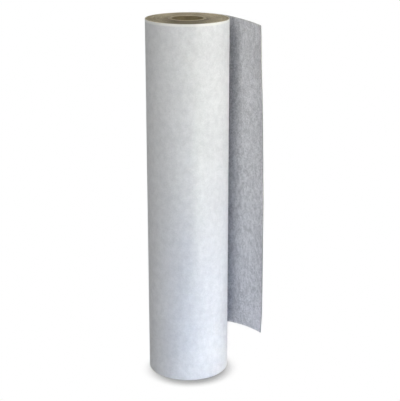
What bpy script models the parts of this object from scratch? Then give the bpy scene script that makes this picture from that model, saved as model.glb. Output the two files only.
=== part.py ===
"""Crack isolation membrane roll.

A laminated web, white fleece outwards, is wound on a spiral paper core that stands on its end.
The outer turn shows its three plies. The free end of the web stands open as a tail, made of
strips on a chain of upright hinges, with its lower corner trimmed off on a slant.
Metres, +Z up. The origin is the middle of the base of the whole outline.
"""

import math

import bmesh
import bpy
from mathutils import Vector

PART_NAME = "crack_isolation_membrane_roll"

# The web: its width stands upright, its plies are counted from the outside in
WEB_WIDTH = 0.914
FACE_FLEECE = 0.0004
CARRIER = 0.0008
BACK_FLEECE = 0.0004
PLY_GAP = 0.0002

# The core: a spiral-wound board tube with a liner and an outer ply
BORE_DIAMETER = 0.0762
LINER_PLY = 0.0006
BODY_PLY = 0.0046
OUTER_PLY = 0.0006
CORE_PLY_GAP = 0.0002
PLY_LEAD = 0.305
PLY_SEAM = 0.0004
CORE_STEPS = 36
TRIM_MARGIN = 0.010

# The strip that holds the web's first edge on the core
TAPE_THICKNESS = 0.00025
TAPE_LENGTH = 0.050
TAPE_STEPS = 4
SEAT_GAP = 0.0003

# The winding, in whole turns from the web's first edge to the line where the tail leaves
TURN_CLEARANCE = 0.00044
TURNS = 23
POINTS_PER_TURN = 24
OUTER_TURN_POINTS = 48
BUTT_GAP = 0.0003
TAKE_OFF = math.radians(65.9)

# The tail: it leaves along the roll, then opens to the set that the web keeps
TAIL_LENGTH = 0.262
FIRST_HINGE = 0.062
EASE_LENGTH = 0.126
SET_RADIUS = 0.712
STRIPS = 5
STRIP_STEPS = 4
LEAD_STEPS = 6
LARGEST_FOLD = math.radians(20)
FOLD_CLEARANCE = 0.0003
WALK_STEP = 0.001

# The slanted trim of the lower edge, from the back of the outer turn to the end of the tail
TRIM_START = math.radians(174)
TRIM_RISE = 0.144
TRIM_BOW_SHARE = 0.45

# Sizes that follow from these
WEB = FACE_FLEECE + PLY_GAP + CARRIER + PLY_GAP + BACK_FLEECE
PITCH = WEB + TURN_CLEARANCE
TURN = 2 * math.pi
STEP = TURN / POINTS_PER_TURN
BODY_INNER = BORE_DIAMETER / 2 + LINER_PLY + CORE_PLY_GAP
OUTER_INNER = BODY_INNER + BODY_PLY + CORE_PLY_GAP
CORE_RADIUS = OUTER_INNER + OUTER_PLY
TAPE_RADIUS = CORE_RADIUS + SEAT_GAP + TAPE_THICKNESS
FIRST_RADIUS = (TAPE_RADIUS + SEAT_GAP) / math.cos(STEP / 2)
LAST_RADIUS = FIRST_RADIUS + TURNS * PITCH
STRIP_LENGTH = (TAIL_LENGTH - FIRST_HINGE) / STRIPS
STRIP_GAP = FOLD_CLEARANCE + WEB * math.sin(LARGEST_FOLD) / 2
MID_DEPTH = WEB / 2

# Plies as (name, depth of the outer face above the web's inner face, thickness, material)
PLIES = (
    ("face_fleece", WEB, FACE_FLEECE, "white_fleece"),
    ("carrier", WEB - FACE_FLEECE - PLY_GAP, CARRIER, "khaki_carrier"),
    ("back_fleece", BACK_FLEECE, BACK_FLEECE, "grey_fleece"),
)

# Materials as (linear colour, roughness)
FINISHES = {
    "white_fleece": ((0.80, 0.80, 0.815), 0.95),
    "khaki_carrier": ((0.26, 0.23, 0.165), 0.85),
    "grey_fleece": ((0.70, 0.70, 0.72), 0.95),
    "wound_laminate": ((0.33, 0.29, 0.21), 0.90),
    "core_liner_paper": ((0.17, 0.135, 0.075), 0.75),
    "core_board": ((0.40, 0.335, 0.22), 0.85),
    "core_outer_paper": ((0.44, 0.37, 0.25), 0.80),
    "starter_tape_film": ((0.70, 0.66, 0.52), 0.45),
}


def clear_scene():
    """Remove everything that the file holds at the start."""
    for obj in list(bpy.data.objects):
        bpy.data.objects.remove(obj, do_unlink=True)


def new_material(name):
    """A plain material with the finish's colour and roughness."""
    colour, roughness = FINISHES[name]
    material = bpy.data.materials.new(name)
    material.use_nodes = True
    shader = material.node_tree.nodes["Principled BSDF"]
    shader.inputs["Base Color"].default_value = (*colour, 1)
    shader.inputs["Roughness"].default_value = roughness
    shader.inputs["Metallic"].default_value = 0
    material.diffuse_color = (*colour, 1)
    return material


def wound_point(back_angle, depth):
    """Place on the wound web, by the angle wound back from the take-off line."""
    azimuth = TAKE_OFF + back_angle
    radius = LAST_RADIUS - PITCH * back_angle / TURN + depth
    return Vector((radius * math.cos(azimuth), radius * math.sin(azimuth)))


def tail_azimuth(distance):
    """Way that the tail's outer face looks, at a distance past the take-off line."""
    bend, set_bend = 1 / LAST_RADIUS, 1 / SET_RADIUS
    eased = min(distance, EASE_LENGTH)
    turned = bend * eased - (bend - set_bend) * eased**2 / (2 * EASE_LENGTH)
    turned += set_bend * (distance - eased)
    return TAKE_OFF - turned


def tail_point(distance, depth):
    """Place on the tail, found by walking along its inner face from the take-off line."""
    place = wound_point(0, 0)
    steps = math.ceil(distance / WALK_STEP)
    for step in range(steps):
        azimuth = tail_azimuth((step + 0.5) * distance / steps)
        along = Vector((math.sin(azimuth), -math.cos(azimuth)))
        place += along * distance / steps
    azimuth = tail_azimuth(distance)
    return place + depth * Vector((math.cos(azimuth), math.sin(azimuth)))


def web_point(distance, depth):
    """Place on the outer turn (distance below zero) or on the tail (above zero)."""
    if distance < 0:
        return wound_point(-distance / LAST_RADIUS, depth)
    return tail_point(distance, depth)


def trim_height(distance):
    """Height of the web's lower edge: level, then rising on the slant to the free end."""
    start = (TAKE_OFF - TRIM_START) * LAST_RADIUS
    share = min(max((distance - start) / (TAIL_LENGTH - start), 0), 1)
    bowed = 1 - (1 - share) ** 2
    return TRIM_RISE * ((1 - TRIM_BOW_SHARE) * share + TRIM_BOW_SHARE * bowed)


def spread(start, end, steps):
    """Distances from start to end in equal steps."""
    return [start + (end - start) * index / steps for index in range(steps + 1)]


def keep_modifiers(obj):
    """Turn the object's modifiers into its own mesh, and shade its round faces smooth."""
    bpy.context.view_layer.update()
    graph = bpy.context.evaluated_depsgraph_get()
    mesh = bpy.data.meshes.new_from_object(obj.evaluated_get(graph))
    obj.modifiers.clear()
    old = obj.data
    obj.data = mesh
    bpy.data.meshes.remove(old)
    mesh.name = obj.name
    mesh.shade_smooth()
    mesh.set_sharp_from_angle(angle=math.radians(30))


def add_object(name, mesh, material, parent, collection):
    """Link a piece into the part's collection and hang it on its parent."""
    obj = bpy.data.objects.new(name, mesh)
    collection.objects.link(obj)
    mesh.materials.append(material)
    obj.parent = parent
    return obj


def add_empty(name, place, parent, collection):
    """An upright axis, at a plan place measured from the roll's axis."""
    empty = bpy.data.objects.new(name, None)
    empty.empty_display_size = WEB_WIDTH / 20
    collection.objects.link(empty)
    empty["plan"] = (place.x, place.y)
    empty.parent = parent
    origin = Vector(parent["plan"]) if parent else Vector((0, 0))
    empty.location = (*(place - origin), 0)
    return empty


def add_band(name, places, low_heights, thickness, material, parent, collection):
    """An upright band: a line of plan places pulled up to the web's width, then given its wall."""
    origin = Vector(parent["plan"])
    bm = bmesh.new()
    line = []
    for place, low in zip(places, low_heights):
        line.append(bm.verts.new((*(place - origin), low)))
    edges = [bm.edges.new(pair) for pair in zip(line, line[1:])]
    pulled = bmesh.ops.extrude_edge_only(bm, edges=edges)["geom"]
    for item in pulled:
        if isinstance(item, bmesh.types.BMVert):
            item.co.z = WEB_WIDTH
    bm.normal_update()
    along = places[1] - places[0]
    if line[0].link_faces[0].normal.xy.dot(Vector((-along.y, along.x))) < 0:
        bmesh.ops.reverse_faces(bm, faces=bm.faces[:])
    mesh = bpy.data.meshes.new(name)
    bm.to_mesh(mesh)
    bm.free()
    obj = add_object(name, mesh, material, parent, collection)
    wall = obj.modifiers.new("wall", "SOLIDIFY")
    wall.thickness = thickness
    wall.offset = -1
    wall.use_even_offset = True
    keep_modifiers(obj)
    return obj


def new_profile(name, points, closed):
    """A profile in the XZ plane, for a Screw modifier to turn."""
    bm = bmesh.new()
    corners = [bm.verts.new((x, 0, z)) for x, z in points]
    following = corners[1:] + corners[:1] if closed else corners[1:]
    for pair in zip(corners, following):
        bm.edges.new(pair)
    mesh = bpy.data.meshes.new(name)
    bm.to_mesh(mesh)
    bm.free()
    return mesh


def turn_profile(obj, lead, turns):
    """Turn the object's profile about the roll's axis, rising by the lead each turn."""
    screw = obj.modifiers.new("turning", "SCREW")
    screw.axis = "Z"
    screw.angle = TURN
    screw.screw_offset = lead
    screw.iterations = turns
    screw.steps = CORE_STEPS
    screw.render_steps = CORE_STEPS
    screw.use_merge_vertices = lead == 0
    screw.merge_threshold = PLY_GAP / 100


def add_tube(name, inner, outer, material, parent, collection):
    """A plain tube of the core, as long as the web is wide."""
    points = ((outer, WEB_WIDTH), (outer, 0), (inner, 0), (inner, WEB_WIDTH))
    obj = add_object(name, new_profile(name, points, True), material, parent, collection)
    turn_profile(obj, 0, 1)
    keep_modifiers(obj)
    return obj


def add_spiral_ply(name, inner, outer, trim, material, parent, collection):
    """A paper strip wound up the core on its lead, with an open seam, and trimmed square."""
    turns = math.ceil(WEB_WIDTH / PLY_LEAD) + 2
    low = -(turns - (WEB_WIDTH / PLY_LEAD)) * PLY_LEAD / 2 - PLY_LEAD / 2
    high = low + PLY_LEAD - PLY_SEAM
    points = ((outer, high), (outer, low), (inner, low), (inner, high))
    obj = add_object(name, new_profile(name, points, True), material, parent, collection)
    turn_profile(obj, PLY_LEAD, turns)
    cut = obj.modifiers.new("square_ends", "BOOLEAN")
    cut.operation = "INTERSECT"
    cut.solver = "EXACT"
    cut.object = trim
    keep_modifiers(obj)
    return obj


def add_core_trim(parent, collection):
    """The block whose two ends trim the core's strips to the web's width."""
    half = CORE_RADIUS + TRIM_MARGIN
    bm = bmesh.new()
    bmesh.ops.create_cube(bm, size=1)
    for corner in bm.verts:
        corner.co = (2 * half * corner.co.x, 2 * half * corner.co.y, WEB_WIDTH * (corner.co.z + 0.5))
    mesh = bpy.data.meshes.new("core_trim")
    bm.to_mesh(mesh)
    bm.free()
    block = bpy.data.objects.new("core_trim", mesh)
    collection.objects.link(block)
    block.parent = parent
    block.hide_render = True
    block.display_type = "WIRE"
    return block


def build_core(axis, trim, materials, collection):
    """The liner, the board and the outer ply, and the tape that holds the web's first edge."""
    add_spiral_ply("core_liner_ply", BORE_DIAMETER / 2, BODY_INNER - CORE_PLY_GAP, trim,
                   materials["core_liner_paper"], axis, collection)
    add_tube("core_body_ply", BODY_INNER, BODY_INNER + BODY_PLY,
             materials["core_board"], axis, collection)
    add_spiral_ply("core_outer_ply", OUTER_INNER, CORE_RADIUS, trim,
                   materials["core_outer_paper"], axis, collection)
    half_angle = TAPE_LENGTH / (2 * CORE_RADIUS)
    facet = math.cos(half_angle / TAPE_STEPS)
    places = []
    for angle in spread(TAKE_OFF + half_angle, TAKE_OFF - half_angle, TAPE_STEPS):
        places.append(TAPE_RADIUS / facet * Vector((math.cos(angle), math.sin(angle))))
    add_band("starter_tape", places, [0] * len(places), TAPE_THICKNESS,
             materials["starter_tape_film"], axis, collection)


def build_wound_web(axis, materials, collection):
    """Every turn but the last, as one unbroken spiral band."""
    angles = [TURNS * TURN - index * STEP for index in range((TURNS - 1) * POINTS_PER_TURN)]
    angles.append(TURN + BUTT_GAP / LAST_RADIUS)
    places = [wound_point(angle, WEB) for angle in angles]
    add_band("wound_web", places, [0] * len(places), WEB,
             materials["wound_laminate"], axis, collection)
    report_least_gap([wound_point(angle, 0) for angle in angles], places)


def report_least_gap(inner, outer):
    """Measure how near the band comes to itself, from each inner point to the turn below."""
    least = math.inf
    for index in range(POINTS_PER_TURN + 1, len(inner)):
        below = index - POINTS_PER_TURN
        for start, end in ((below - 1, below), (below, below + 1)):
            side = outer[end] - outer[start]
            share = (inner[index] - outer[start]).dot(side) / side.length_squared
            nearest = outer[start] + min(max(share, 0), 1) * side
            least = min(least, (inner[index] - nearest).length)
    print(f"wound_web: least gap to itself {least * 1000:.3f} mm over {TURNS - 1} turns")


def build_outer_turn(axis, materials, collection):
    """The last turn in its three plies, up to the tail's first hinge."""
    distances = spread(-TURN * LAST_RADIUS, 0, OUTER_TURN_POINTS)[:-1]
    distances += spread(0, FIRST_HINGE - STRIP_GAP / 2, LEAD_STEPS)
    lows = [trim_height(distance) for distance in distances]
    for name, depth, thickness, finish in PLIES:
        places = [web_point(distance, depth) for distance in distances]
        add_band(f"outer_turn_{name}", places, lows, thickness,
                 materials[finish], axis, collection)


def build_tail(axis, materials, collection):
    """The tail's strips, each hung on its own hinge line and carrying the next."""
    parent = axis
    for number in range(1, STRIPS + 1):
        start = FIRST_HINGE + (number - 1) * STRIP_LENGTH
        end = start + STRIP_LENGTH
        parent = add_empty(f"tail_hinge_{number}", tail_point(start, MID_DEPTH), parent, collection)
        spot = parent_place(parent)
        print(f"tail_hinge_{number}: {spot.x:.5f}, {spot.y:.5f}")
        if number < STRIPS:
            end -= STRIP_GAP / 2
        distances = spread(start + STRIP_GAP / 2, end, STRIP_STEPS)
        lows = [trim_height(distance) for distance in distances]
        for name, depth, thickness, finish in PLIES:
            places = [tail_point(distance, depth) for distance in distances]
            add_band(f"tail_strip_{number}_{name}", places, lows, thickness,
                     materials[finish], parent, collection)


def parent_place(empty):
    """World place of a hinge line, from its plan place and the roll's own offset."""
    root = empty
    while root.parent:
        root = root.parent
    return Vector(empty["plan"]) + root.location.xy


def outline_centre():
    """Middle of the whole plan outline, measured from the roll's axis."""
    distances = spread(-TURN * LAST_RADIUS, 0, OUTER_TURN_POINTS)
    distances += spread(0, TAIL_LENGTH, STRIPS * STRIP_STEPS)
    places = [web_point(distance, depth) for distance in distances for depth in (0, WEB)]
    across = [place.x for place in places]
    deep = [place.y for place in places]
    return Vector((max(across) + min(across), max(deep) + min(deep))) / 2


def main():
    clear_scene()
    parts = bpy.data.collections.new(PART_NAME)
    cutters = bpy.data.collections.new("cutters")
    bpy.context.scene.collection.children.link(parts)
    bpy.context.scene.collection.children.link(cutters)
    materials = {name: new_material(name) for name in FINISHES}
    axis = add_empty("roll_axis", Vector((0, 0)), None, parts)
    axis.location = (*-outline_centre(), 0)
    trim = add_core_trim(axis, cutters)
    build_core(axis, trim, materials, parts)
    build_wound_web(axis, materials, parts)
    build_outer_turn(axis, materials, parts)
    build_tail(axis, materials, parts)
    print(f"roll_axis: {axis.location.x:.5f}, {axis.location.y:.5f}")


main()
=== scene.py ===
import math

import bmesh
import bpy
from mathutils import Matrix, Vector, noise


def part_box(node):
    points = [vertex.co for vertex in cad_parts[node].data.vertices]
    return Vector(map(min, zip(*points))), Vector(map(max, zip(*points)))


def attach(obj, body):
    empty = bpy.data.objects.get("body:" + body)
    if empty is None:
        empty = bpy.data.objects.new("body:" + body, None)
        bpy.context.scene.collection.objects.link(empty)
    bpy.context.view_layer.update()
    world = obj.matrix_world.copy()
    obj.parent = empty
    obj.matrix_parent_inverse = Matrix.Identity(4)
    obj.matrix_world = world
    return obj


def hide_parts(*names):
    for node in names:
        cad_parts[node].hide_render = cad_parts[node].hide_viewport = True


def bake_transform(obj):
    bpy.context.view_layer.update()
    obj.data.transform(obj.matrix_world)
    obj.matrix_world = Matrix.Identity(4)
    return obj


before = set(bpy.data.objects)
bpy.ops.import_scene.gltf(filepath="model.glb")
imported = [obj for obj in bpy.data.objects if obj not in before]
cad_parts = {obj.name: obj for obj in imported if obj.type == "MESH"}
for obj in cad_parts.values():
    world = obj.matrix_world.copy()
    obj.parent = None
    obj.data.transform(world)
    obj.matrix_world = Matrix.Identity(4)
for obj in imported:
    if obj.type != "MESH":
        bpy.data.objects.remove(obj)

# Membrane roll standing on end: wound web, core, and the tail in strips across its five hinge lines

scene = bpy.context.scene
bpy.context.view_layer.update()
mm = 0.001
tiny = 0.001 * mm  # points closer than this are one
turn = 2 * math.pi
sharpAngle = math.radians(50)  # faces that meet more steeply keep their edge
print("frame loaded")

coreLow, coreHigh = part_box("core_body_ply")
rollAxis = ((coreLow + coreHigh) / 2).xy
rollHeight = coreHigh.z

# Camera

view = dict(
    imageSize=(400, 401),
    focalPixels=1082.1,
    sensor=36,
    pitch=math.radians(17.46),  # looking down at the roll
    side=0.0301, back=2.621,  # from the roll's axis
    height=1.277,
    reach=50,  # how far it sees
)


def addCamera():
    data = bpy.data.cameras.new("photoCamera")
    data.sensor_width = view["sensor"]
    data.lens = view["focalPixels"] * view["sensor"] / max(view["imageSize"])
    data.clip_end = view["reach"]
    camera = bpy.data.objects.new("photoCamera", data)
    camera.location = (rollAxis.x + view["side"], rollAxis.y - view["back"], view["height"])
    camera.rotation_euler = (math.radians(90) - view["pitch"], 0, 0)
    scene.collection.objects.link(camera)
    scene.camera = camera


addCamera()
print("camera placed")

# Mesh and material helpers


def newPiece(name, bm, materials, smooth=True):
    for face in bm.faces:
        face.smooth = smooth
    mesh = bpy.data.meshes.new(name)
    bm.to_mesh(mesh)
    bm.free()
    for material in materials:
        mesh.materials.append(material)
    if smooth:
        mesh.set_sharp_from_angle(angle=sharpAngle)
    piece = bpy.data.objects.new(name, mesh)
    scene.collection.objects.link(piece)
    return piece


def newMaterial(name, colour, roughness, gloss=0.2):
    material = bpy.data.materials.new(name)
    material.use_nodes = True
    shader = material.node_tree.nodes["Principled BSDF"]
    shader.inputs["Base Color"].default_value = (*colour, 1)
    shader.inputs["Roughness"].default_value = roughness
    shader.inputs["Specular IOR Level"].default_value = gloss
    material.diffuse_color = (*colour, 1)
    return material


def addNode(material, kind, **values):
    node = material.node_tree.nodes.new(kind)
    for key, value in values.items():
        if hasattr(node, key):
            setattr(node, key, value)
        else:
            node.inputs[key.replace("_", " ")].default_value = value
    return node


def join(material, source, target):
    material.node_tree.links.new(source, target)


def sheetPlace(material):
    return addNode(material, "ShaderNodeUVMap", uv_map="webMap").outputs["UV"]


def objectPlace(material):
    return addNode(material, "ShaderNodeTexCoord").outputs["Object"]


def mapped(material, place, stretch, turned=0):
    # turned first, then stretched, so that a long pattern can lie in any direction
    node = addNode(material, "ShaderNodeMapping", vector_type="TEXTURE")
    node.inputs["Scale"].default_value = stretch
    node.inputs["Rotation"].default_value = (0, 0, turned)
    join(material, place, node.inputs["Vector"])
    return node.outputs["Vector"]


def noiseOf(material, place, scale, detail, distortion=0):
    node = addNode(material, "ShaderNodeTexNoise")
    node.inputs["Scale"].default_value = scale
    node.inputs["Detail"].default_value = detail
    node.inputs["Distortion"].default_value = distortion
    join(material, place, node.inputs["Vector"])
    return node.outputs["Fac"]


def calc(material, operation, first, second):
    node = addNode(material, "ShaderNodeMath", operation=operation)
    for socket, value in zip(node.inputs, (first, second)):
        if isinstance(value, (int, float)):
            socket.default_value = value
        else:
            join(material, value, socket)
    return node.outputs[0]


def around(material, value, amount, middle=0.5):
    # a pattern of 0..1 becomes plus or minus about half the amount
    return calc(material, "MULTIPLY", calc(material, "SUBTRACT", value, middle), amount)


def apart(material, value, middle):
    return calc(material, "ABSOLUTE", calc(material, "SUBTRACT", value, middle), 0)


def splitOf(material, place):
    node = addNode(material, "ShaderNodeSeparateXYZ")
    join(material, place, node.inputs[0])
    return node.outputs


def ranged(material, value, start, end, low=0.0, high=1.0):
    # eases from low to high while the value goes from start to end
    node = addNode(material, "ShaderNodeMapRange", interpolation_type="SMOOTHSTEP")
    join(material, value, node.inputs["Value"])
    numbers = {"From Min": start, "From Max": end, "To Min": low, "To Max": high}
    for socket, number in numbers.items():
        node.inputs[socket].default_value = number
    return node.outputs[0]


def blendOf(material, factor, low, high):
    # a Mix node's colours go into its inputs 6 and 7 and come out of its output 2
    node = addNode(material, "ShaderNodeMix", data_type="RGBA")
    join(material, factor, node.inputs[0])
    for socket, value in ((node.inputs[6], low), (node.inputs[7], high)):
        if isinstance(value, tuple):
            socket.default_value = (*value, 1)
        else:
            join(material, value, socket)
    return node.outputs[2]


def tinted(material, value, colour):
    # colour times a grey value
    node = addNode(material, "ShaderNodeVectorMath", operation="SCALE")
    join(material, value, node.inputs["Scale"])
    if isinstance(colour, tuple):
        node.inputs[0].default_value = colour
    else:
        join(material, colour, node.inputs[0])
    return node.outputs["Vector"]


def summed(material, parts, base=1.0):
    total = base
    for part in parts:
        total = calc(material, "ADD", total, part)
    return total


def bumped(material, height, distance, strength, after=None):
    node = addNode(material, "ShaderNodeBump")
    node.inputs["Distance"].default_value = distance
    node.inputs["Strength"].default_value = strength
    join(material, height, node.inputs["Height"])
    if after is not None:
        join(material, after, node.inputs["Normal"])
    return node.outputs["Normal"]


def shaderOf(material):
    return material.node_tree.nodes["Principled BSDF"]


# Fleece: threads lie in several directions, and the mat is thick in one place and thin in the next

fleeceLook = dict(  # patterns: scale in cells per metre, detail, and how much longer up the roll
    patterns=dict(clouds=(9, 3, 1), mottle=(75, 3, 1.25), grain=(260, 3, 1.15), speck=(900, 2, 1)),
    threadWays=((0.30, 330), (1.35, 380), (2.40, 300)),  # direction in radians, threads per metre
    threadLength=5, threadBend=0.5, threadWidth=0.045,
    threadShare=0.35,  # how much of the fleece they cover
    relief=dict(mottle=(0.45 * mm, 0.5), grain=(0.18 * mm, 0.6), threads=(0.06 * mm, 0.8)),
    roughness=0.95, sheenRoughness=0.5,
)
whiteLook = dict(
    thick=(0.87, 0.87, 0.885), thin=(0.73, 0.73, 0.745),
    clouds=0.9, mottle=1.55, grain=1.15, speck=0.7, threads=0.30, sheen=0.12,
)
greyLook = dict(
    thick=(0.80, 0.80, 0.825), thin=(0.46, 0.46, 0.482),
    clouds=0.85, mottle=2.0, grain=2.5, speck=1.2, threads=0.45, sheen=0.10,
)


def threadsOf(material, place):
    # thin wandering lines, where a stretched noise passes its middle value
    mat = 0
    for direction, perMetre in fleeceLook["threadWays"]:
        stretched = mapped(material, place, (1, fleeceLook["threadLength"], 1), direction)
        field = noiseOf(material, stretched, perMetre, 1, fleeceLook["threadBend"])
        line = ranged(material, apart(material, field, 0.5), 0, fleeceLook["threadWidth"], 1, 0)
        mat = calc(material, "MAXIMUM", mat, line)
    return mat


def fleece(name, look, topStainOrHighlight=None, topStainOrHighlightDepth=0.0):
    # the colour just below the top edge: on the wound turns the stain the knife leaves, on the outer
    # turn and tail a painted highlight
    material = newMaterial(name, look["thick"], fleeceLook["roughness"])
    place = sheetPlace(material)
    patterns = {
        kind: noiseOf(material, mapped(material, place, (1, longer, 1)), scale, detail)
        for kind, (scale, detail, longer) in fleeceLook["patterns"].items()
    }
    parts = [around(material, pattern, look[kind]) for kind, pattern in patterns.items()]
    patterns["threads"] = threadsOf(material, place)
    parts.append(around(material, patterns["threads"], look["threads"], fleeceLook["threadShare"]))
    cover = summed(material, parts, 0.5)
    colour = blendOf(material, cover, look["thin"], look["thick"])
    if topStainOrHighlight is not None:
        height = splitOf(material, place)[1]
        near = ranged(material, height, rollHeight - topStainOrHighlightDepth, rollHeight - topStainOrHighlightDepth / 3)
        colour = blendOf(material, near, colour, topStainOrHighlight)
    normal = None
    for kind, (depth, strength) in fleeceLook["relief"].items():
        normal = bumped(material, patterns[kind], depth, strength, normal)
    shader = shaderOf(material)
    join(material, colour, shader.inputs["Base Color"])
    join(material, normal, shader.inputs["Normal"])
    shader.inputs["Sheen Weight"].default_value = look["sheen"]
    shader.inputs["Sheen Roughness"].default_value = fleeceLook["sheenRoughness"]
    return material


# Cut edges: the fleece is tinted by the carrier, paler on the last turns, and grey along the tail, with
# painted shade and highlight on the roll's end

edgeLook = dict(
    face=(0.32, 0.275, 0.20), back=(0.40, 0.35, 0.255), carrier=(0.24, 0.21, 0.15),
    outer=(0.72, 0.69, 0.58), tail=(0.40, 0.395, 0.37), tailCarrier=(0.36, 0.35, 0.32), paleTurns=1.3,
    paintedShadeAndSideHighlight=(0.76, 1.30), paintedShadeAndSideHighlightFrom=20 * mm, paintedShadeAndSideHighlightTo=70 * mm,  # painted shade in front of and behind the core, painted highlight at the sides
    paintedFrontShade=(0.70, 1.15), paintedFrontShadeFrom=40 * mm, paintedFrontShadeTo=90 * mm,  # painted shade: a dark patch on the top end, in front of the core
    paintedFrontShadeSpot=(10 * mm, -55 * mm),
    tuftScale=650, tufts=0.8, tuftDepth=0.15 * mm, tuftRelief=0.8,
    bandScale=9, bandLength=1000, bands=1.3,  # paler and darker stretches along the web
    greyFrom=0.03,  # the tail's edge is grey from here on
    roughness=0.9,
    stainDepth=5 * mm,  # the wound turns' faces are stained this far down
    paintedRimHighlight=(0.92, 0.915, 0.895), paintedRimHighlightDepth=6 * mm,  # painted highlight: the outer face is paler this far down from its top edge
)


def cutEdge(name, inner, outer, tail):
    material = newMaterial(name, inner, edgeLook["roughness"], gloss=0)  # tufts show no glint
    place = sheetPlace(material)
    along = splitOf(material, place)[0]
    tuft = noiseOf(material, place, edgeLook["tuftScale"], 3)
    stretched = mapped(material, place, (1, edgeLook["bandLength"], 1))
    band = noiseOf(material, stretched, edgeLook["bandScale"], 3)
    value = summed(material, (
        around(material, tuft, edgeLook["tufts"]),
        around(material, band, edgeLook["bands"]),
    ))
    length = turn * web["lastRadius"] * edgeLook["paleTurns"]
    wound = blendOf(material, ranged(material, along, -length, -length / 2), inner, outer)
    # painted shade and highlight, fixed on the roll: the end is darker in front and behind, lighter at
    # the sides
    onRoll = objectPlace(material)
    aside = apart(material, splitOf(material, onRoll)[0], rollAxis.x)
    paintedShadeAndSideHighlight = ranged(material, aside, edgeLook["paintedShadeAndSideHighlightFrom"], edgeLook["paintedShadeAndSideHighlightTo"], *edgeLook["paintedShadeAndSideHighlight"])
    # painted shade: a dark patch on the top end in front of the core, a little lighter further away
    away = addNode(material, "ShaderNodeVectorMath", operation="DISTANCE")
    join(material, onRoll, away.inputs[0])
    away.inputs[1].default_value = (*(rollAxis + Vector(edgeLook["paintedFrontShadeSpot"])), rollHeight)
    paintedFrontShade = ranged(material, away.outputs["Value"], edgeLook["paintedFrontShadeFrom"], edgeLook["paintedFrontShadeTo"],
                    *edgeLook["paintedFrontShade"])
    wound = tinted(material, calc(material, "MULTIPLY", paintedShadeAndSideHighlight, paintedFrontShade), wound)
    colour = blendOf(material, ranged(material, along, 0, edgeLook["greyFrom"]), wound, tail)
    relief = bumped(material, tuft, edgeLook["tuftDepth"], edgeLook["tuftRelief"])
    shader = shaderOf(material)
    join(material, tinted(material, value, colour), shader.inputs["Base Color"])
    join(material, relief, shader.inputs["Normal"])
    return material


# The web: its path is the one that the CAD model's sheet follows

web = dict(
    thickness=2.0 * mm, fleece=0.5 * mm, pitch=2.44 * mm, turns=23,
    lastRadius=101.66 * mm,  # inner face where the tail leaves
    takeOff=math.radians(65.9),
    easeLength=0.126, setRadius=0.712, tailLength=0.262,
    firstHinge=0.062, stripLength=0.040, strips=5,
    trimStart=math.radians(174), trimRise=0.144, trimBow=0.45,
    edgeProfile=((0, 0.36), (0.05, 0.13), (0.18, 0.02), (0.36, 0.04), (0.47, 0.22), (0.60, 0.13)),
    # wandering lines: size, waves per metre, seed
    edgeWander=(0.5 * mm, 2.2, 0), edgeFray=(0.12 * mm, 60, 0), endWander=(0.5 * mm, 9, 5),
    slack=(0.05 * mm, 14, 3), outerSlack=0.6,
    edgePower=8,  # only the top edge wanders
    fluff=1.14,  # the wound turns swell to meet each other
    loosened=0.05, ripple=0.35 * mm, rippleWaves=(6, 4.5, 7),  # how far the outer turn lies loose
    flare=15 * mm, flareDrop=0.6,  # the free end stands out more, down to this far below its top
    lowCurl=0.05, lowShare=0.15,  # and its lower corner curls back a little
    wave=1.2 * mm, waveWaves=(8, 6, 4),  # waves per metre along the web and up it, and a seed
    endRound=0.4 * mm, endPinch=0.8,
    turnColumns=144, outerColumns=240, stripColumns=14, endColumns=8, rows=30,
)


def eased(share):
    share = min(max(share, 0), 1)
    return share * share * (3 - 2 * share)


def tailFacing(distance):
    bend, setBend = 1 / web["lastRadius"], 1 / web["setRadius"]
    near = min(distance, web["easeLength"])
    turned = bend * near - (bend - setBend) * near**2 / (2 * web["easeLength"])
    return web["takeOff"] - turned - setBend * (distance - near)


def walkTail(step=0.5 * mm):
    spot = rollAxis + web["lastRadius"] * Vector((math.cos(web["takeOff"]), math.sin(web["takeOff"])))
    line = [spot.copy()]
    for index in range(math.ceil(web["tailLength"] / step) + 1):
        facing = tailFacing((index + 0.5) * step)
        spot += step * Vector((math.sin(facing), -math.cos(facing)))
        line.append(spot.copy())
    return line, step


tailLine, tailStep = walkTail()


def webSpot(distance, depth):
    # plan place of the web: distance past the take-off line, depth out from its inner face
    if distance < 0:
        back = -distance / web["lastRadius"]
        facing = web["takeOff"] + back
        radius = web["lastRadius"] - web["pitch"] * back / turn + depth
        return rollAxis + radius * Vector((math.cos(facing), math.sin(facing)))
    index = min(int(distance / tailStep), len(tailLine) - 2)
    spot = tailLine[index].lerp(tailLine[index + 1], distance / tailStep - index)
    facing = tailFacing(distance)
    return spot + depth * Vector((math.cos(facing), math.sin(facing)))


def webArc(distance):
    # real length of web between the take-off line and this place
    if distance > 0:
        return distance
    back = -distance / web["lastRadius"]
    return distance + web["pitch"] * back**2 / (2 * turn)


def webLow(distance):
    start = (web["takeOff"] - web["trimStart"]) * web["lastRadius"]
    share = min(max((distance - start) / (web["tailLength"] - start), 0), 1)
    return web["trimRise"] * (share * (1 - web["trimBow"]) + web["trimBow"] * (1 - (1 - share)**2))


def wander(distance, kind):
    size, scale, seed = web[kind]
    return size * noise.noise(Vector((distance * scale, seed, 0)))


def looseness(distance, z, kind):
    along, up, seed = web[kind]
    return max(0, 0.5 + noise.noise(Vector((distance * along, z * up, seed))))


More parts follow.
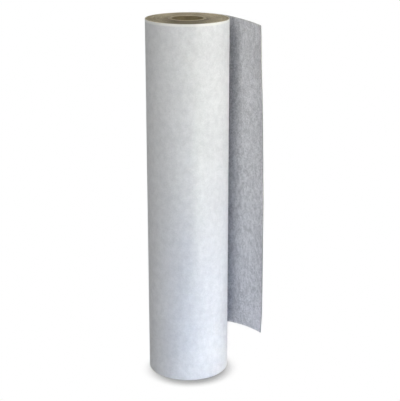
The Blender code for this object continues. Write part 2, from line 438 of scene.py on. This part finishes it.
def standOff(distance, z):
    # how far the web stands out from its path: always outward, so that no turn meets another
    start = -turn * web["lastRadius"]
    if distance <= start:
        return 0
    loosened = eased((distance - start) / web["loosened"])
    out = web["ripple"] * loosened * looseness(distance, z, "rippleWaves")
    if distance > 0:
        share = distance / web["tailLength"]
        drop = min(max((rollHeight - z) / web["flareDrop"], 0), 1)
        curl = web["lowShare"] * (1 - eased((z - webLow(distance)) / web["lowCurl"]))
        out += web["flare"] * share**2 * (drop * (2 - drop) - curl)
        out += web["wave"] * share * looseness(distance, z, "waveWaves")
    return out


def edgeShape():
    # (depth, drop) across the cut edge, from the inner face to the outer one: the profile mirrored
    half = [(depth * mm, drop * mm) for depth, drop in web["edgeProfile"]]
    return half + [(web["thickness"] - depth, drop) for depth, drop in reversed(half)]


def bisectAll(bm, place, facing, faces=None):
    faces = bm.faces[:] if faces is None else faces
    edges = dict.fromkeys(edge for face in faces for edge in face.edges)
    corners = dict.fromkeys(vertex for face in faces for vertex in face.verts)
    bmesh.ops.bisect_plane(bm, geom=[*faces, *edges, *corners], dist=tiny, plane_co=place,
                           plane_no=facing)


def flatSheet(start, end, columns, rows, freeEnd):
    # a flat laminated sheet: x along the web, y its depth, z its height, closed at both ends
    height = rollHeight
    top = edgeShape()
    ring = [(0, height * row / rows) for row in range(1, rows)]
    ring += [(depth, height - drop) for depth, drop in top]
    ring += [(web["thickness"], height * (rows - row) / rows) for row in range(1, rows)]
    ring += [(depth, drop) for depth, drop in reversed(top)]
    bm = bmesh.new()
    bmesh.ops.create_grid(bm, x_segments=columns, y_segments=len(ring), size=1)
    for vertex in bm.verts:
        along, across = (vertex.co.xy + Vector((1, 1))) / 2
        depth, z = ring[round(across * len(ring)) % len(ring)]
        vertex.co = (start + (end - start) * along, depth, z)
    bmesh.ops.remove_doubles(bm, verts=bm.verts, dist=tiny)
    ends = [edge for edge in bm.edges if edge.is_boundary]
    bmesh.ops.holes_fill(bm, edges=ends, sides=0)
    bmesh.ops.recalc_face_normals(bm, faces=bm.faces)
    if freeEnd:
        bisectAll(bm, (end - web["endRound"], 0, 0), (1, 0, 0))
    cuts = [((0, depth, 0), (0, 1, 0)) for depth in (web["fleece"], web["thickness"] - web["fleece"])]
    cuts += [((0, 0, height * row / rows), (0, 0, 1)) for row in range(1, rows)]
    for place, facing in cuts:  # the ends show the plies, and bend with the web
        caps = [face for face in bm.faces if abs(face.normal.x) > 0.5]
        bisectAll(bm, place, facing, caps)
    return bm


def plyAt(depth):
    # which of a sheet's materials lies at this depth: white, grey, face edge, carrier edge, back edge
    thick, ply = web["thickness"], web["fleece"]
    if depth < tiny:
        return 1
    if depth > thick - tiny:
        return 0
    if depth < ply:
        return 4
    return 2 if depth > thick - ply else 3


def windSheet(name, start, end, columns, rows, materials, slack=1.0, fluff=1.0, freeEnd=False):
    # cut flat, mark its plies, trim its lower edge, then wind it onto its path
    bm = flatSheet(start, end, columns, rows, freeEnd)
    for face in bm.faces:
        face.material_index = plyAt(face.calc_center_median().y)
    for vertex in bm.verts:
        low = webLow(vertex.co.x)
        vertex.co.z = low + vertex.co.z * (rollHeight - low) / rollHeight
    places = bm.loops.layers.uv.new("webMap")
    for face in bm.faces:
        for loop in face.loops:
            spot = loop.vert.co
            loop[places].uv = (webArc(spot.x), spot.z + spot.y)
    for vertex in bm.verts:
        distance, depth, z = vertex.co
        if freeEnd:
            if distance > end - web["endRound"] / 2:
                middle = web["thickness"] / 2
                depth = middle + (depth - middle) * web["endPinch"]
            distance += (distance - start) / (end - start) * wander(z, "endWander")
        out = wander(distance, "slack") * slack + standOff(distance, z)
        spot = webSpot(distance, depth * fluff + out)
        rise = wander(distance, "edgeWander") + wander(distance, "edgeFray")
        high = (z / rollHeight)**web["edgePower"]
        vertex.co = (spot.x, spot.y, z + rise * high * slack)
    return newPiece(name, bm, materials)


def buildWeb():
    # the white fleece of the outer turn and tail carries a painted highlight along its top edge
    white = fleece("whiteFleece", whiteLook, edgeLook["paintedRimHighlight"], edgeLook["paintedRimHighlightDepth"])
    grey = fleece("greyFleece", greyLook)
    edges = (
        cutEdge("faceFleeceEdge", edgeLook["face"], edgeLook["outer"], edgeLook["tail"]),
        cutEdge("carrierEdge", edgeLook["carrier"], edgeLook["carrier"], edgeLook["tailCarrier"]),
        cutEdge("backFleeceEdge", edgeLook["back"], edgeLook["outer"], edgeLook["tail"]),
    )
    materials = (white, grey, *edges)
    stained = (
        fleece("woundWhite", whiteLook, edgeLook["face"], edgeLook["stainDepth"]),
        fleece("woundGrey", greyLook, edgeLook["back"], edgeLook["stainDepth"]),
        *edges,
    )
    outerStart = -turn * web["lastRadius"]
    firstEdge = outerStart * web["turns"]
    woundColumns = (web["turns"] - 1) * web["turnColumns"]
    wound = windSheet("woundWeb", firstEdge, outerStart, woundColumns, 1, stained, fluff=web["fluff"])
    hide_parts("wound_web")
    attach(wound, "roll")
    print("wound web:", web["turns"] - 1, "turns")

    half = web["stripLength"] / 2
    seam = web["firstHinge"] - half
    outer = windSheet("outerTurn", outerStart, seam, web["outerColumns"], web["rows"], materials,
                      slack=web["outerSlack"])
    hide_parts("outer_turn_face_fleece", "outer_turn_carrier", "outer_turn_back_fleece")
    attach(outer, "roll")

    bodies = ["roll"] + [f"tail_{number}" for number in range(1, web["strips"] + 1)]
    for number in range(1, web["strips"] + 1):
        start = web["firstHinge"] + (number - 1) * web["stripLength"] - half
        end = start + web["stripLength"]
        piece = windSheet(f"tailSheet{number}", start, end, web["stripColumns"], web["rows"], materials,
                          slack=web["outerSlack"])
        nodes = [f"tail_strip_{number}_{ply}" for ply in ("face_fleece", "carrier", "back_fleece")]
        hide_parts(*nodes)
        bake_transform(piece)
    start = web["tailLength"] - half
    piece = windSheet("tailEnd", start, web["tailLength"], web["endColumns"], web["rows"], materials,
                      slack=web["outerSlack"], freeEnd=True)
    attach(piece, bodies[-1])
    print("outer turn and tail")


buildWeb()

# Core: a board wall between a liner and an outer ply, each a paper strip wound up it on a slant

core = dict(
    bore=38.1 * mm, strip=0.6 * mm, board=4.6 * mm, gap=0.2 * mm, lead=0.305, seam=0.4 * mm,
    stripSteps=60, boardSteps=120, plies=7, groove=0.12 * mm, grooveHalf=0.09 * mm,
    cornerDrop=0.4 * mm, cornerIn=0.15 * mm, cornerHigh=0.05 * mm,
    lift=0.25 * mm, liftScale=90,  # the sawn top end isn't quite flat
)
coreLook = dict(  # each a colour and its roughness
    liner=((0.17, 0.135, 0.075), 0.75), board=((0.40, 0.335, 0.22), 0.85),
    outer=((0.44, 0.37, 0.25), 0.85), tape=((0.70, 0.66, 0.52), 0.45),
    fibre=0.5, fibreScale=420, fibreLength=3, fibreDepth=0.12 * mm, fibreRelief=0.7,
    blotch=0.3, blotchScale=60,
)


def paper(name, kind):
    colour, roughness = coreLook[kind]
    material = newMaterial(name, colour, roughness)
    place = objectPlace(material)
    upright = mapped(material, place, (1, 1, coreLook["fibreLength"]))
    fibre = noiseOf(material, upright, coreLook["fibreScale"], 4)
    blotch = noiseOf(material, place, coreLook["blotchScale"], 3)
    value = summed(material, (
        around(material, fibre, coreLook["fibre"]),
        around(material, blotch, coreLook["blotch"]),
    ))
    relief = bumped(material, fibre, coreLook["fibreDepth"], coreLook["fibreRelief"])
    shader = shaderOf(material)
    join(material, tinted(material, value, colour), shader.inputs["Base Color"])
    join(material, relief, shader.inputs["Normal"])
    return material


def stripTube(inner):
    # the strip's section is spun up its lead, then the tube is cut square at both ends
    turns = math.ceil(rollHeight / core["lead"]) + 2
    low = (rollHeight - (turns + 1) * core["lead"]) / 2
    high, outer = low + core["lead"] - core["seam"], inner + core["strip"]
    bm = bmesh.new()
    corners = [bm.verts.new((radius, 0, z))
               for radius, z in ((inner, low), (inner, high), (outer, high), (outer, low))]
    edges = [bm.edges.new(pair) for pair in zip(corners, corners[1:] + corners[:1])]
    bmesh.ops.spin(bm, geom=edges, angle=turn * turns, steps=core["stripSteps"] * turns, axis=(0, 0, 1),
                   cent=(0, 0, 0), dvec=(0, 0, core["lead"] / core["stripSteps"]), use_merge=False)
    for z, outwards in ((0, -1), (rollHeight, 1)):
        whole = bm.verts[:] + bm.edges[:] + bm.faces[:]
        bmesh.ops.bisect_plane(bm, geom=whole, plane_co=(0, 0, z), plane_no=(0, 0, outwards),
                               clear_outer=True)
    bmesh.ops.holes_fill(bm, edges=[edge for edge in bm.edges if edge.is_boundary], sides=0)
    return bm


def boardProfile(inner, outer):
    # up the bore side, over the plies of the end, down the outside, and over the lower end
    ply = (outer - inner) / core["plies"]
    side, shoulder = rollHeight - core["cornerDrop"], rollHeight - core["cornerHigh"]
    top = [(inner, side), (inner + core["cornerIn"], shoulder)]
    for number in range(1, core["plies"]):
        radius = inner + ply * number
        top += [(radius - core["grooveHalf"], rollHeight), (radius, rollHeight - core["groove"]),
                (radius + core["grooveHalf"], rollHeight)]
    top += [(outer - core["cornerIn"], shoulder), (outer, side)]
    return top + [(radius, rollHeight - z) for radius, z in reversed(top)]


def boardTube(inner):
    bm = bmesh.new()
    corners = [bm.verts.new((radius, 0, z)) for radius, z in boardProfile(inner, inner + core["board"])]
    edges = [bm.edges.new(pair) for pair in zip(corners, corners[1:] + corners[:1])]
    bmesh.ops.spin(bm, geom=edges, angle=turn, steps=core["boardSteps"], axis=(0, 0, 1),
                   cent=(0, 0, 0), use_merge=True)
    return bm


def placeTube(name, bm, material, node):
    bmesh.ops.recalc_face_normals(bm, faces=bm.faces)
    for vertex in bm.verts:
        if vertex.co.z > rollHeight / 2:
            vertex.co.z += noise.noise(Vector(vertex.co) * core["liftScale"]) * core["lift"]
        vertex.co.xy += rollAxis
    piece = newPiece(name, bm, [material])
    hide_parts(node)
    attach(piece, "roll")


def buildCore():
    boardInner = core["bore"] + core["strip"] + core["gap"]
    outerInner = boardInner + core["board"] + core["gap"]
    placeTube("coreLiner", stripTube(core["bore"]), paper("linerPaper", "liner"),
              "core_liner_ply")
    placeTube("coreBoard", boardTube(boardInner), paper("boardPaper", "board"),
              "core_body_ply")
    placeTube("coreOuter", stripTube(outerInner), paper("outerPaper", "outer"),
              "core_outer_ply")
    tape = paper("tapeFilm", "tape")
    for slot in bpy.data.objects["starter_tape"].material_slots:
        slot.material = tape
    print("core: liner, board and outer ply")


buildCore()

# Floor, white surroundings and soft lights

surroundings = dict(
    sky=0.165, skyColour=(0.82, 0.90, 1),
    floorSize=12, floorColour=(0.62, 0.62, 0.62),
    shadowReach=0.054, shadowDark=0.36,  # the dark line round the foot
    shadowLean=(-0.25, 1.4, 1),  # it falls to the front right
    shadowDeep=0.35, shadowClear=0.85,
)
# side: degrees round the roll from +X; rise: degrees above the floor
# aim: height of what it points at, halfway up where none is given; past: metres right of the axis
lamps = dict(
    key=dict(power=0.71, wide=0.3, tall=1.8, distance=3.0, side=-72, rise=10, spread=10, past=0.12,
             colour=(1, 1, 0.96)),
    band=dict(power=0.40, wide=0.15, tall=1.8, distance=3.0, side=-60, rise=10, spread=4, past=0.03,
              colour=(1, 0.985, 0.89)),
    fill=dict(power=17.9, wide=1.6, tall=1.6, distance=3.0, side=-128, rise=28, colour=(1, 0.97, 0.86)),
    tail=dict(power=0.27, wide=0.3, tall=1.8, distance=3.0, side=-136, rise=12, spread=6, past=0.17),
    low=dict(power=0.66, wide=0.3, tall=0.3, distance=0.6, side=-67, rise=0, aim=0.055,
             colour=(0.05, 0.32, 1)),
    back=dict(power=45, wide=2.2, tall=2.2, distance=3.0, side=84, rise=14),
    right=dict(power=16, wide=1.2, tall=2.2, distance=3.0, side=40, rise=16),
    top=dict(power=15, wide=1.6, tall=1.6, distance=2.5, side=0, rise=88, aim=0.9),
)


def whiteRays(material):
    # 1 for what the camera, a gloss or a glass sees
    path = addNode(material, "ShaderNodeLightPath")
    seen = calc(material, "MAXIMUM", path.outputs["Is Camera Ray"], path.outputs["Is Glossy Ray"])
    return calc(material, "MAXIMUM", seen, path.outputs["Is Transmission Ray"])


def buildFloor():
    bm = bmesh.new()
    bmesh.ops.create_grid(bm, x_segments=1, y_segments=1, size=surroundings["floorSize"])
    material = newMaterial("floorWhite", surroundings["floorColour"], 1, gloss=0)
    nearby = addNode(material, "ShaderNodeAmbientOcclusion", Distance=surroundings["shadowReach"])
    lean = addNode(material, "ShaderNodeCombineXYZ")
    for socket, value in zip(lean.inputs, Vector(surroundings["shadowLean"]).normalized()):
        socket.default_value = value
    join(material, lean.outputs[0], nearby.inputs["Normal"])
    shade = ranged(material, nearby.outputs["AO"], surroundings["shadowDeep"],
                   surroundings["shadowClear"], surroundings["shadowDark"], 1)
    glow = addNode(material, "ShaderNodeEmission")
    join(material, shade, glow.inputs["Strength"])
    both = addNode(material, "ShaderNodeMixShader")
    join(material, whiteRays(material), both.inputs[0])
    join(material, shaderOf(material).outputs[0], both.inputs[1])
    join(material, glow.outputs[0], both.inputs[2])
    output = material.node_tree.nodes["Material Output"]
    join(material, both.outputs[0], output.inputs["Surface"])
    floor = newPiece("floor", bm, [material], smooth=False)


def buildWorld():
    world = bpy.data.worlds.new("studio")
    scene.world = world
    world.use_nodes = True
    background = world.node_tree.nodes["Background"]
    seen = whiteRays(world)
    strength = calc(world, "MAXIMUM", seen, surroundings["sky"])
    join(world, strength, background.inputs["Strength"])
    tone = blendOf(world, seen, surroundings["skyColour"], (1, 1, 1))
    join(world, tone, background.inputs["Color"])


def addLamp(name, power, wide, tall, distance, side, rise, aim=0.457, spread=180, past=0,
            colour=(1, 1, 1)):
    data = bpy.data.lights.new(name, "AREA")
    data.shape = "RECTANGLE"
    data.energy, data.size, data.size_y = power, wide, tall
    data.spread = math.radians(spread)
    data.color = colour
    lamp = bpy.data.objects.new(name, data)
    across, up = math.radians(side), math.radians(rise)
    way = Vector((math.cos(across) * math.cos(up), math.sin(across) * math.cos(up), math.sin(up)))
    target = Vector((*rollAxis, aim)) + past * Vector((-math.sin(across), math.cos(across), 0))
    lamp.location = target + way * distance
    lamp.rotation_euler = way.to_track_quat("Z", "Y").to_euler()
    lamp.visible_camera = False
    scene.collection.objects.link(lamp)


buildFloor()
buildWorld()
for name, values in lamps.items():
    addLamp(name, **values)
scene.view_settings.view_transform = "Standard"
print("floor and lights")
